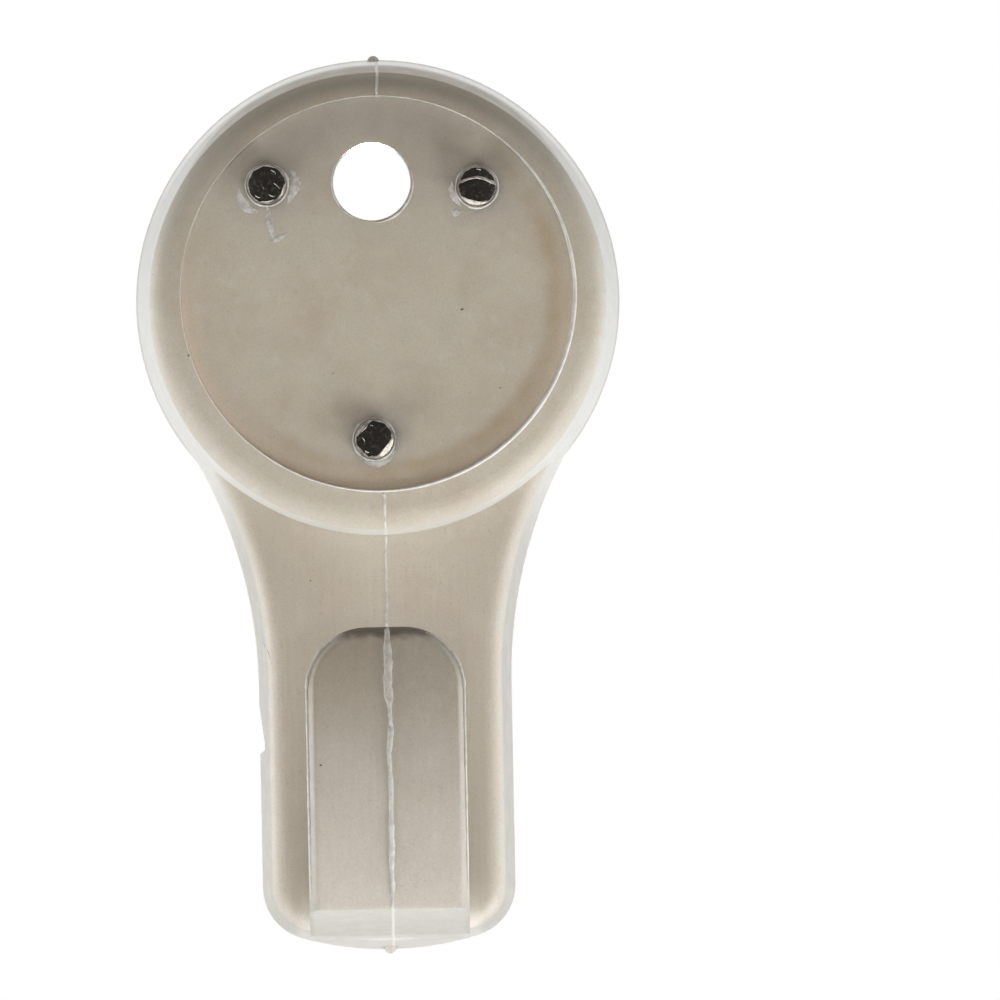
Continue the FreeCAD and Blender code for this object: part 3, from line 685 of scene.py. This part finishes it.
def steel_finish(name, plain, other, per_mm, start, end, depth):
    material, tree, skin = new_finish(name)
    drawn = add_node(tree, "ShaderNodeVectorMath", operation="MULTIPLY")
    join(tree, millimetres(tree), drawn.inputs[0])
    drawn.inputs[1].default_value = DRAWN
    torn = grain(tree, drawn.outputs["Vector"], per_mm, 8)
    join(tree, blend(tree, soft_step(tree, torn, start, end), plain, other), skin.inputs["Base Color"])
    join(tree, soft_step(tree, torn, 0.35, 0.70, 0.55, 0.30), skin.inputs["Roughness"])
    skin.inputs["Metallic"].default_value = 1
    tears = add_node(tree, "ShaderNodeBump")
    tears.inputs["Strength"].default_value = 0.7
    tears.inputs["Distance"].default_value = depth * MM
    join(tree, torn, tears.inputs["Height"])
    join(tree, tears.outputs["Normal"], skin.inputs["Normal"])
    return material


wire_steel = steel_finish("pin_steel", WIRE_STEEL, DULL_STEEL, 2.6, 0.42, 0.60, 0.03)
bright_steel = steel_finish("bright_steel", BRIGHT_STEEL, WIRE_STEEL, 3.5, 0.52, 0.72, 0.03)
torn_steel = steel_finish("torn_steel", BLACK_STEEL, GREY_STEEL, 6.0, 0.50, 0.72, 0.08)
for pin in pins:
    dress(pin, wire_steel)
print("steel on", len(pins), "pins")

# %% [markdown]
# Flash is the thin skin of plastic that creeps into the joints of a mould.
# It is modelled as ridges: a row of small sections, each set on the surface and joined to the next.
# Their places are found by casting rays from the front, so that a ridge follows whatever it lies on.
# A station is such a place, with the way out of the surface, the way across the ridge, and its size.

# %% Helpers to place a ridge
FRONT = 30 * MM

graph = bpy.context.evaluated_depsgraph_get()
hook_surface = BVHTree.FromObject(hook, graph)
pin_surfaces = [BVHTree.FromObject(pin, graph) for pin in pins]


def seen_from_front(surface, x, z):
    return surface.ray_cast(Vector((x * MM, -FRONT, z * MM)), Vector((0, 1, 0)))[:2]


def wobble(seed, step, low, high):
    wave = noise.noise(Vector((seed, step, 0.5 * seed)))
    return low + (high - low) * min(max(0.5 + 0.8 * wave, 0), 1)


def stations(surface, path, sizes, closed=False):
    rows = []
    last = len(path) - 1
    for step, (x, z) in enumerate(path):
        spot, outward = seen_from_front(surface, x, z)
        behind = path[step - 1] if closed or step else path[0]
        ahead = path[(step + 1) % len(path)] if closed or step < last else path[last]
        along = Vector((ahead[0] - behind[0], 0, ahead[1] - behind[1]))
        rows.append((spot, outward, along.cross(outward).normalized(), *sizes[step]))
    return rows


print("surfaces to cast rays on:", 1 + len(pin_surfaces))

# %% [markdown]
# A ridge is a low arch whose feet are sunk into the surface, so that no gap shows under it.
# Four-sided faces join each row of points to the next, and an open ridge gets a face at each end.
# No point stands further forward than the solids do, so the part keeps its size.

# %% Helpers to build a ridge
SECTION = ((-1.0, -0.5), (-0.65, 0.5), (0.0, 1.0), (0.65, 0.5), (1.0, -0.5))


def join_rows(rows, count, closed=False):
    faces = []
    for row in range(rows if closed else rows - 1):
        after = (row + 1) % rows
        for item in range(count):
            beside = (item + 1) % count
            faces.append((row * count + item, row * count + beside,
                          after * count + beside, after * count + item))
    return faces


def ridge(rows, closed=False):
    points = []
    for spot, outward, across, half, height in rows:
        for side, rise in SECTION:
            point = spot + (across * (side * half) + outward * (rise * height)) * MM
            point.y = max(point.y, cad_box[0][1])
            points.append(point)
    count = len(SECTION)
    faces = join_rows(len(rows), count, closed)
    if not closed:
        faces.append(tuple(range(count)))
        faces.append(tuple((len(rows) - 1) * count + item for item in reversed(range(count))))
    return points, faces


print("points in a section of a ridge:", len(SECTION))

# %% [markdown]
# Every piece of trim is made from such parts in the same way.
# Their points and faces go into one mesh, whose faces are turned outwards and shaded smooth.
# The piece then rides with the hook, and gets the material it is given.

# %% Helper to make a piece
def make_piece(name, parts, material):
    points, faces = [], []
    for more_points, more_faces in parts:
        start = len(points)
        points += [tuple(spot) for spot in more_points]
        faces += [tuple(start + corner for corner in face) for face in more_faces]
    mesh = bpy.data.meshes.new(name)
    mesh.from_pydata(points, [], faces)
    form = bmesh.new()
    form.from_mesh(mesh)
    bmesh.ops.recalc_face_normals(form, faces=form.faces)
    form.to_mesh(mesh)
    form.free()
    mesh.polygons.foreach_set("use_smooth", [True] * len(mesh.polygons))
    piece = bpy.data.objects.new(name, mesh)
    bpy.context.scene.collection.objects.link(piece)
    dress(piece, material)
    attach(piece, "root")
    print(name, "has", len(faces), "faces")


print("helper for pieces is ready")

# %% [markdown]
# Thin flash lets light through, so it looks paler and greyer than the thick plastic beside it.
# Its finish is the same kind of plastic, with its own noise, roughness and bump.

# %% Mix the pale flash
def tinted_plastic(name, plain, cloudy, per_mm):
    material, tree, skin = new_finish(name)
    where = millimetres(tree)
    clouds = grain(tree, where, per_mm, 6)
    join(tree, blend(tree, soft_step(tree, clouds, 0.35, 0.70), plain, cloudy), skin.inputs["Base Color"])
    join(tree, soft_step(tree, clouds, 0.3, 0.7, 0.32, 0.52), skin.inputs["Roughness"])
    bump = add_node(tree, "ShaderNodeBump")
    bump.inputs["Strength"].default_value = 0.4
    bump.inputs["Distance"].default_value = 0.02 * MM
    join(tree, clouds, bump.inputs["Height"])
    join(tree, bump.outputs["Normal"], skin.inputs["Normal"])
    return material


pale_flash = tinted_plastic("pale_flash", (0.78, 0.78, 0.755, 1), (0.60, 0.585, 0.55, 1), 3.0)
print("flash finish:", pale_flash.name)

# %% [markdown]
# Flash along the mould joint runs down the ring, the plate and the tongue.
# It is widest and most ragged near the top of the tongue, and fine elsewhere.
# The path is cut wherever the surface jumps, such as from the plate to the tip of the tongue.

# %% Run flash down the mould joint
STEP = 0.12
JUMP = 0.25 * MM
END_GAP = 0.25
FACE_GAP = 0.05
WIDE_END_Z = -25.2


def joint_size(z, step):
    if z > TIP_Z:
        return wobble(3, step * 0.5, 0.03, 0.09), wobble(4, step * 0.5, 0.0, 0.05)
    wide = min(max((z - WIDE_END_Z) / (TIP_Z - WIDE_END_Z), 0), 1)
    half = 0.105 + 0.11 * wide
    return wobble(5, step * 0.22, 0.55 * half, 1.35 * half), wobble(6, step * 0.3, 0.03, 0.085)


runs = [[]]
before = None
for step in range(int((hook_high.z - hook_low.z) / MM / STEP)):
    z = hook_high.z / MM - END_GAP - step * STEP
    x = JOINT_X + wobble(7, step * 0.10, -0.06, 0.06) + wobble(8, step * 0.9, -0.02, 0.02)
    spot = seen_from_front(hook_surface, x, z)[0]
    clear_of_face = math.hypot(x - face_x, z - face_z) >= FACE_RADIUS + FACE_GAP
    usable = spot is not None and clear_of_face and z >= hook_low.z / MM + END_GAP
    jumped = usable and before is not None and abs(spot.y - before) > JUMP
    if jumped or not usable:
        runs.append([])
    if usable:
        runs[-1].append((x, z, step))
    before = None if spot is None else spot.y
parts = []
for run in runs:
    if len(run) > 3:
        trail = [(x, z) for x, z, step in run]
        spread = [joint_size(z, step) for x, z, step in run]
        parts.append(ridge(stations(hook_surface, trail, spread)))
make_piece("joint_flash", parts, pale_flash)

# %% [markdown]
# A fine white ridge runs up both sides of the tongue and round its upper corners, as a painted highlight on
# the tongue's rounded edges.
# Its path follows the tongue's outline just inside the edge, and it stops short of the tip.

# %% Line the tongue's sides with painted highlight
TONGUE_HALF, TONGUE_FOOT, CORNER = 3.575, -32.1, 2.75
LINE_INSET = 0.06
SIDE_STEPS, CORNER_STEPS, FADE_STEPS = 60, 24, 10
CORNER_TURN = 68
CORNER_SWELL = 1.5

corner_z = TIP_Z - CORNER
reach = CORNER - LINE_INSET
# The white material is shared with the face's flash; on the tongue it paints the edge highlight.
white_flash_and_highlight = tinted_plastic("white_flash_and_highlight", (0.90, 0.90, 0.88, 1), (0.74, 0.73, 0.70, 1), 2.5)
parts = []
for side in (-1, 1):
    trail = []
    for step in range(SIDE_STEPS):
        z = TONGUE_FOOT + (corner_z - TONGUE_FOOT) * step / SIDE_STEPS
        trail.append((face_x + side * (TONGUE_HALF - LINE_INSET), z))
    for step in range(CORNER_STEPS):
        angle = math.radians(CORNER_TURN * step / (CORNER_STEPS - 1))
        out = TONGUE_HALF - CORNER + reach * math.cos(angle)
        trail.append((face_x + side * out, corner_z + reach * math.sin(angle)))
    spread = []
    for step in range(len(trail)):
        fade_out = min(1, (len(trail) - step) / FADE_STEPS, (step + 1) / FADE_STEPS)
        swell = CORNER_SWELL if step > SIDE_STEPS else 1
        half = wobble(14 + side, step * 0.35, 0.055, 0.09) * swell
        spread.append((half * fade_out, half * fade_out))
    parts.append(ridge(stations(hook_surface, trail, spread)))
make_piece("tongue_highlight_lines", parts, white_flash_and_highlight)

# %% [markdown]
# The core that formed the face was a separate part of the mould, and flash crept in round it too.
# It makes a thin, uneven wall on the inner edge of the ring, heavier towards the lower right.

# %% Run flash round the face
ROUND_STEPS = 360
HEAVY_TURN = 0.5

flash_radius = FACE_RADIUS + FACE_GAP
loop, sizes = [], []
for step in range(ROUND_STEPS):
    angle = 2 * math.pi * step / ROUND_STEPS
    heavy = (0.5 + 0.5 * math.cos(angle + HEAVY_TURN)) ** 2
    loop.append((face_x + flash_radius * math.cos(angle), face_z + flash_radius * math.sin(angle)))
    rough = noise.noise(Vector((8 * math.cos(angle), 8 * math.sin(angle), 9)))
    sizes.append((0.016 + 0.095 * heavy + 0.012 * rough, 0.014 + 0.075 * heavy + 0.012 * rough))
parts = [ridge(stations(hook_surface, loop, sizes, closed=True), closed=True)]
make_piece("face_flash", parts, white_flash_and_highlight)

# %% [markdown]
# A thin collar of plastic climbs each pin where the hot plastic met the cold steel.
# Each collar is a closed ridge round the pin, with its own waviness.

# %% Put a collar round each pin
COLLAR_STEPS = 72
COLLAR_GAP = 0.07

reach = PIN_RADIUS + COLLAR_GAP
parts = []
for number, (pin_x, pin_z) in enumerate(pin_places):
    loop, sizes = [], []
    for step in range(COLLAR_STEPS):
        angle = 2 * math.pi * step / COLLAR_STEPS
        loop.append((pin_x + reach * math.cos(angle), pin_z + reach * math.sin(angle)))
        rough = noise.noise(Vector((1.6 * math.cos(angle), 1.6 * math.sin(angle), 11 + number)))
        sizes.append((0.06 + 0.07 * rough, 0.04 + 0.06 * rough))
    parts.append(ridge(stations(hook_surface, loop, sizes, closed=True), closed=True))
make_piece("pin_collars", parts, pale_flash)

# %% [markdown]
# Small burrs of plastic stand on the rim of the hole.
# A burr is a short curved ridge that grows from nothing to its full width and back.

# %% Raise the burrs
def burr(surface, path, half, height, seed):
    sizes = []
    for step in range(len(path)):
        swell = math.sin(math.pi * (step + 0.25) / (len(path) - 0.5))
        wide = half * swell * wobble(seed, step, 0.7, 1.2)
        sizes.append((wide, height * swell * wobble(seed + 1, step, 0.6, 1.2)))
    return ridge(stations(surface, path, sizes))


def bow(x, z, radius, first, last, steps=18):
    angles = [math.radians(first + (last - first) * step / (steps - 1)) for step in range(steps)]
    return [(x + radius * math.cos(angle), z + radius * math.sin(angle)) for angle in angles]


HOLE_RADIUS = 1.75
parts = [
    burr(hook_surface, bow(0, 0, HOLE_RADIUS + 0.10, -95, 20), 0.10, 0.06, 21),
    burr(hook_surface, bow(0, 0, HOLE_RADIUS + 0.06, 150, 250), 0.05, 0.03, 23),
]
make_piece("burrs", parts, pale_flash)

# %% [markdown]
# The cutter tore the steel, and torn steel is rough with a ragged border.
# A torn patch is an outline laid on the pin's end and filled with smaller copies of itself.
# Noise moves the outline's points in and out, and lifts each copy by a different amount.

# %% Helpers to tear steel
FILL = (1.0, 0.93, 0.72, 0.45, 0.18)
EDGE_PARTS = 8


def ragged_outline(corners, seed):
    border = []
    for number, (x, z) in enumerate(corners):
        next_x, next_z = corners[(number + 1) % len(corners)]
        for part in range(EDGE_PARTS):
            share = part / EDGE_PARTS
            scale = 1 + 0.05 * noise.noise(Vector((seed, 0.8 * (number * EDGE_PARTS + part), 2)))
            spot = Vector((x + (next_x - x) * share, z + (next_z - z) * share)) * scale
            border.append(tuple(spot * min(1, (PIN_RADIUS - 0.02) / max(spot.length, 0.01))))
    return border


def torn_patch(surface, pin_place, corners, lift, seed):
    border = ragged_outline(corners, seed)
    mid_x = sum(x for x, z in border) / len(border)
    mid_z = sum(z for x, z in border) / len(border)
    points = []
    for ring, share in enumerate(FILL):
        for step, (x, z) in enumerate(border):
            place_x = pin_place[0] + mid_x + (x - mid_x) * share
            place_z = pin_place[1] + mid_z + (z - mid_z) * share
            spot = seen_from_front(surface, place_x, place_z)[0]
            rise = wobble(seed + ring, step * 0.7, 0.2, 1.0) * lift if ring else -0.3 * lift
            points.append(spot + Vector((0, -rise * MM, 0)))
    count = len(border)
    faces = join_rows(len(FILL), count)
    faces.append(tuple((len(FILL) - 1) * count + step for step in range(count)))
    return points, faces


print("copies in a torn patch:", len(FILL))

# %% [markdown]
# The end of each pin is nearly black where it was torn, with bright steel only along its edges.
# Each outline is drawn in millimetres from the pin's axis, with few corners.
# The upper right pin has two torn patches, with a bright line between them.

# %% Tear the ends of the pins
TORN_LIFT = 0.07

left_torn = ((0.85, 0.08), (0.78, 0.38), (0.48, 0.74), (-0.10, 0.86), (-0.62, 0.61), (-0.87, 0.08),
             (-0.76, -0.44), (-0.38, -0.78), (0.16, -0.80), (0.46, -0.66), (0.72, -0.30))
right_upper = ((-0.78, 0.28), (-0.36, 0.44), (0.05, 0.47), (0.42, 0.38), (0.84, 0.20),
               (0.74, 0.46), (0.38, 0.78), (-0.12, 0.87), (-0.56, 0.67))
right_lower = ((-0.86, 0.10), (-0.45, 0.28), (0.0, 0.35), (0.45, 0.24), (0.86, 0.02),
               (0.80, -0.34), (0.56, -0.67), (0.05, -0.70), (-0.40, -0.57), (-0.76, -0.40))
low_torn = ((-0.11, 0.86), (0.46, 0.74), (0.78, 0.35), (0.78, -0.02), (0.14, -0.76), (-0.29, -0.80),
            (-0.83, -0.23), (-0.83, 0.10))
torn = [(0, left_torn), (1, right_upper), (1, right_lower), (2, low_torn)]
parts = [torn_patch(pin_surfaces[number], pin_places[number], corners, TORN_LIFT, 41 + 7 * item)
         for item, (number, corners) in enumerate(torn)]
make_piece("torn_ends", parts, torn_steel)

# %% [markdown]
# Bright lips of steel stand along the edges of the torn patches, where the cutter came out.
# They are short ridges like the burrs, and two smooth crescents lie where the cutter slid off.

# %% Raise the bright lips
LIP_HEIGHT = 0.09
CRESCENT_LIFT = 0.03

lips = (
    (0, ((0.55, -0.62), (0.66, -0.45), (0.72, -0.25), (0.78, 0.0)), 0.06),
    (0, ((-0.30, -0.74), (-0.05, -0.78), (0.20, -0.74), (0.34, -0.66)), 0.05),
    (0, ((0.25, 0.12), (0.40, -0.02), (0.52, -0.14), (0.62, -0.28)), 0.035),
    (0, ((0.05, -0.42), (0.16, -0.52), (0.30, -0.56), (0.42, -0.50)), 0.04),
    (0, ((-0.55, -0.40), (-0.46, -0.52), (-0.34, -0.58), (-0.20, -0.56)), 0.035),
    (0, ((0.10, 0.66), (0.24, 0.62), (0.36, 0.54), (0.44, 0.42)), 0.03),
    (1, ((-0.66, 0.16), (-0.35, 0.32), (0.02, 0.37), (0.42, 0.25), (0.72, 0.07)), 0.045),
    (1, ((-0.68, -0.45), (-0.40, -0.59), (0.05, -0.71), (0.42, -0.73)), 0.04),
    (2, ((0.78, 0.02), (0.62, -0.22), (0.44, -0.44), (0.22, -0.70)), 0.05),
    (1, ((-0.05, 0.74), (0.05, 0.76), (0.16, 0.74), (0.26, 0.70)), 0.045),
    (2, ((-0.66, 0.22), (-0.50, 0.36), (-0.36, 0.50), (-0.24, 0.66)), 0.035),
    (2, ((-0.58, 0.10), (-0.48, 0.02), (-0.42, -0.08), (-0.44, -0.20)), 0.05),
    (2, ((-0.46, -0.46), (-0.38, -0.55), (-0.29, -0.60), (-0.20, -0.60)), 0.045),
    (2, ((-0.22, 0.54), (-0.13, 0.62), (-0.05, 0.60), (0.00, 0.52)), 0.035),
)
right_crescent = ((-0.72, -0.46), (-0.38, -0.60), (0.08, -0.73), (0.46, -0.74),
                  (0.20, -0.85), (-0.22, -0.84), (-0.58, -0.64))
low_crescent = ((0.85, 0.02), (0.52, -0.33), (0.18, -0.76), (0.36, -0.79), (0.64, -0.59), (0.82, -0.28))
crescents = [(1, right_crescent), (2, low_crescent)]
parts = [torn_patch(pin_surfaces[number], pin_places[number], corners, CRESCENT_LIFT, 91 + 7 * item)
         for item, (number, corners) in enumerate(crescents)]
for item, (number, trail, half) in enumerate(lips):
    pin_x, pin_z = pin_places[number]
    steps = [(pin_x + x, pin_z + z) for x, z in trail]
    parts.append(burr(pin_surfaces[number], steps, half, LIP_HEIGHT, 71 + 3 * item))
make_piece("bright_lips", parts, bright_steel)

# %% [markdown]
# Chalky smears of plastic lie beside the pins, most of them round the upper left one.
# They are very low, broad ridges, so they catch light at their edges like real smears.

# %% Rub on the smears
SMEAR_HEIGHT = 0.012
SMEAR_STEPS = 26

chalk = tinted_plastic("chalky_smear", (0.68, 0.68, 0.685, 1), (0.44, 0.42, 0.40, 1), 4.0)


def resample(trail, count):
    fine = []
    for step in range(count):
        share = step / (count - 1) * (len(trail) - 1)
        first = min(int(share), len(trail) - 2)
        part = share - first
        fine.append(tuple(a + (b - a) * part for a, b in zip(trail[first], trail[first + 1])))
    return fine


smears = (
    (0, ((1.00, 0.80), (1.22, 0.45), (1.28, 0.05), (1.15, -0.40), (0.90, -0.90)), 0.30),
    (0, ((-1.25, -0.10), (-1.20, -0.60), (-0.90, -1.05), (-0.30, -1.25)), 0.28),
    (0, ((0.00, -0.90), (0.06, -1.35), (0.12, -1.70), (0.18, -2.05), (0.22, -2.55)), 0.22),
    (0, ((0.02, -2.50), (0.35, -2.48), (0.60, -2.36), (0.90, -2.15)), 0.15),
    (1, ((-1.10, 0.30), (-1.12, -0.10), (-1.02, -0.50), (-0.70, -0.90)), 0.20),
    (1, ((-1.18, -1.05), (-1.05, -1.14), (-0.92, -1.16), (-0.74, -1.14)), 0.24),
    (2, ((-0.70, -0.80), (-0.20, -1.12), (0.20, -1.12), (0.65, -0.88), (0.95, -0.50)), 0.20),
)
parts = []
for item, (number, trail, half) in enumerate(smears):
    pin_x, pin_z = pin_places[number]
    steps = [(pin_x + x, pin_z + z) for x, z in resample(trail, SMEAR_STEPS)]
    parts.append(burr(hook_surface, steps, half, SMEAR_HEIGHT, 111 + 3 * item))
make_piece("smears", parts, chalk)

# %% [markdown]
# Specks of burnt plastic and one dark hair lie on the hook, as on anything moulded fast and handled.
# Each speck is a small uneven flake, and its lower half is sunk into the surface.

# %% Scatter the specks
SPECK_HEIGHT = 0.02
SPECK_STEPS = 5
HAIR_HALF, HAIR_HEIGHT = 0.018, 0.012

burnt = tinted_plastic("burnt_specks", (0.06, 0.05, 0.045, 1), (0.16, 0.12, 0.09, 1), 8.0)
specks = ((3.96, -5.86, 0.055), (2.27, -13.63, 0.045), (-8.35, -7.69, 0.05), (-2.76, -26.12, 0.045),
          (-3.1, -17.9, 0.035), (5.6, -9.4, 0.035), (-1.9, -8.6, 0.03))
parts = []
for number, (x, z, half) in enumerate(specks):
    flake = bow(x, z, half, 200, 20, SPECK_STEPS)
    parts.append(burr(hook_surface, flake, half, SPECK_HEIGHT, 60 + number))
hair = [(-5.35, -20.52), (-5.22, -20.75), (-5.09, -20.97), (-5.0, -21.3), (-4.92, -21.61)]
parts.append(burr(hook_surface, hair, HAIR_HALF, HAIR_HEIGHT, 80))
make_piece("specks", parts, burnt)
